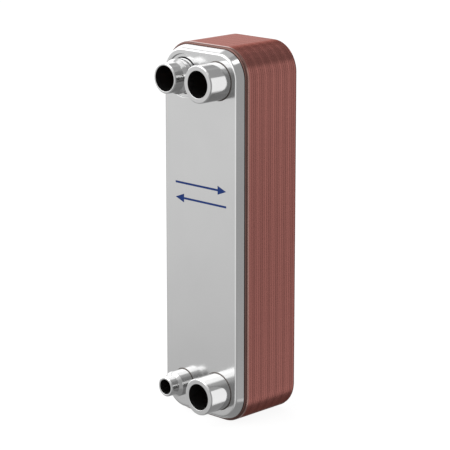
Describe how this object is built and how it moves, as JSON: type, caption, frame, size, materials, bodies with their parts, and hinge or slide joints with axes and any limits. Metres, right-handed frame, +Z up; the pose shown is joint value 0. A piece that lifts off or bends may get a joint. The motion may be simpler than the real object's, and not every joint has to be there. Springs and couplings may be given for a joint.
{
  "type": "brazed plate heat exchanger",
  "caption": "Upright copper-brazed plate heat exchanger: nested pressed plates between steel covers, with two water stubs and two refrigerant stubs on its front.",
  "frame": {"origin": "middle of the bottom of the bounding box, under the plate pack", "axes": "+Z up the plates' length, +Y from the stubs' side to the flat back, +X to the water stubs' side"},
  "size_m": [0.0936, 0.092, 0.325],
  "materials": {
    "stainless_cover": "smooth rolled stainless steel, soft reflections",
    "stainless_stub": "turned stainless steel, bright",
    "copper_brazed_plate": "stainless sheet under a film of brazing copper, brownish red, satin",
    "braze_copper": "melted copper fillet, darkened"
  },
  "bodies": {
    "root": {"front_cover_plate": "stainless_cover", "front_seal_plate": "copper_brazed_plate", "channel_plate_01": "copper_brazed_plate", "channel_plate_02": "copper_brazed_plate", "channel_plate_03": "copper_brazed_plate", "channel_plate_04": "copper_brazed_plate", "channel_plate_05": "copper_brazed_plate", "channel_plate_06": "copper_brazed_plate", "channel_plate_07": "copper_brazed_plate", "channel_plate_08": "copper_brazed_plate", "channel_plate_09": "copper_brazed_plate", "channel_plate_10": "copper_brazed_plate", "channel_plate_11": "copper_brazed_plate", "channel_plate_12": "copper_brazed_plate", "channel_plate_13": "copper_brazed_plate", "channel_plate_14": "copper_brazed_plate", "channel_plate_15": "copper_brazed_plate", "channel_plate_16": "copper_brazed_plate", "channel_plate_17": "copper_brazed_plate", "channel_plate_18": "copper_brazed_plate", "channel_plate_19": "copper_brazed_plate", "channel_plate_20": "copper_brazed_plate", "channel_plate_21": "copper_brazed_plate", "channel_plate_22": "copper_brazed_plate", "channel_plate_23": "copper_brazed_plate", "channel_plate_24": "copper_brazed_plate", "rear_seal_plate": "copper_brazed_plate", "rear_cover_plate": "stainless_cover", "water_inlet_stub": "stainless_stub", "water_outlet_stub": "stainless_stub", "refrigerant_inlet_stub": "stainless_stub", "refrigerant_outlet_stub": "stainless_stub", "water_inlet_braze_ring": "braze_copper", "water_outlet_braze_ring": "braze_copper", "refrigerant_inlet_braze_ring": "braze_copper", "refrigerant_outlet_braze_ring": "braze_copper", "refrigerant_distributor_tube": "stainless_stub"}
  },
  "joints": []
}
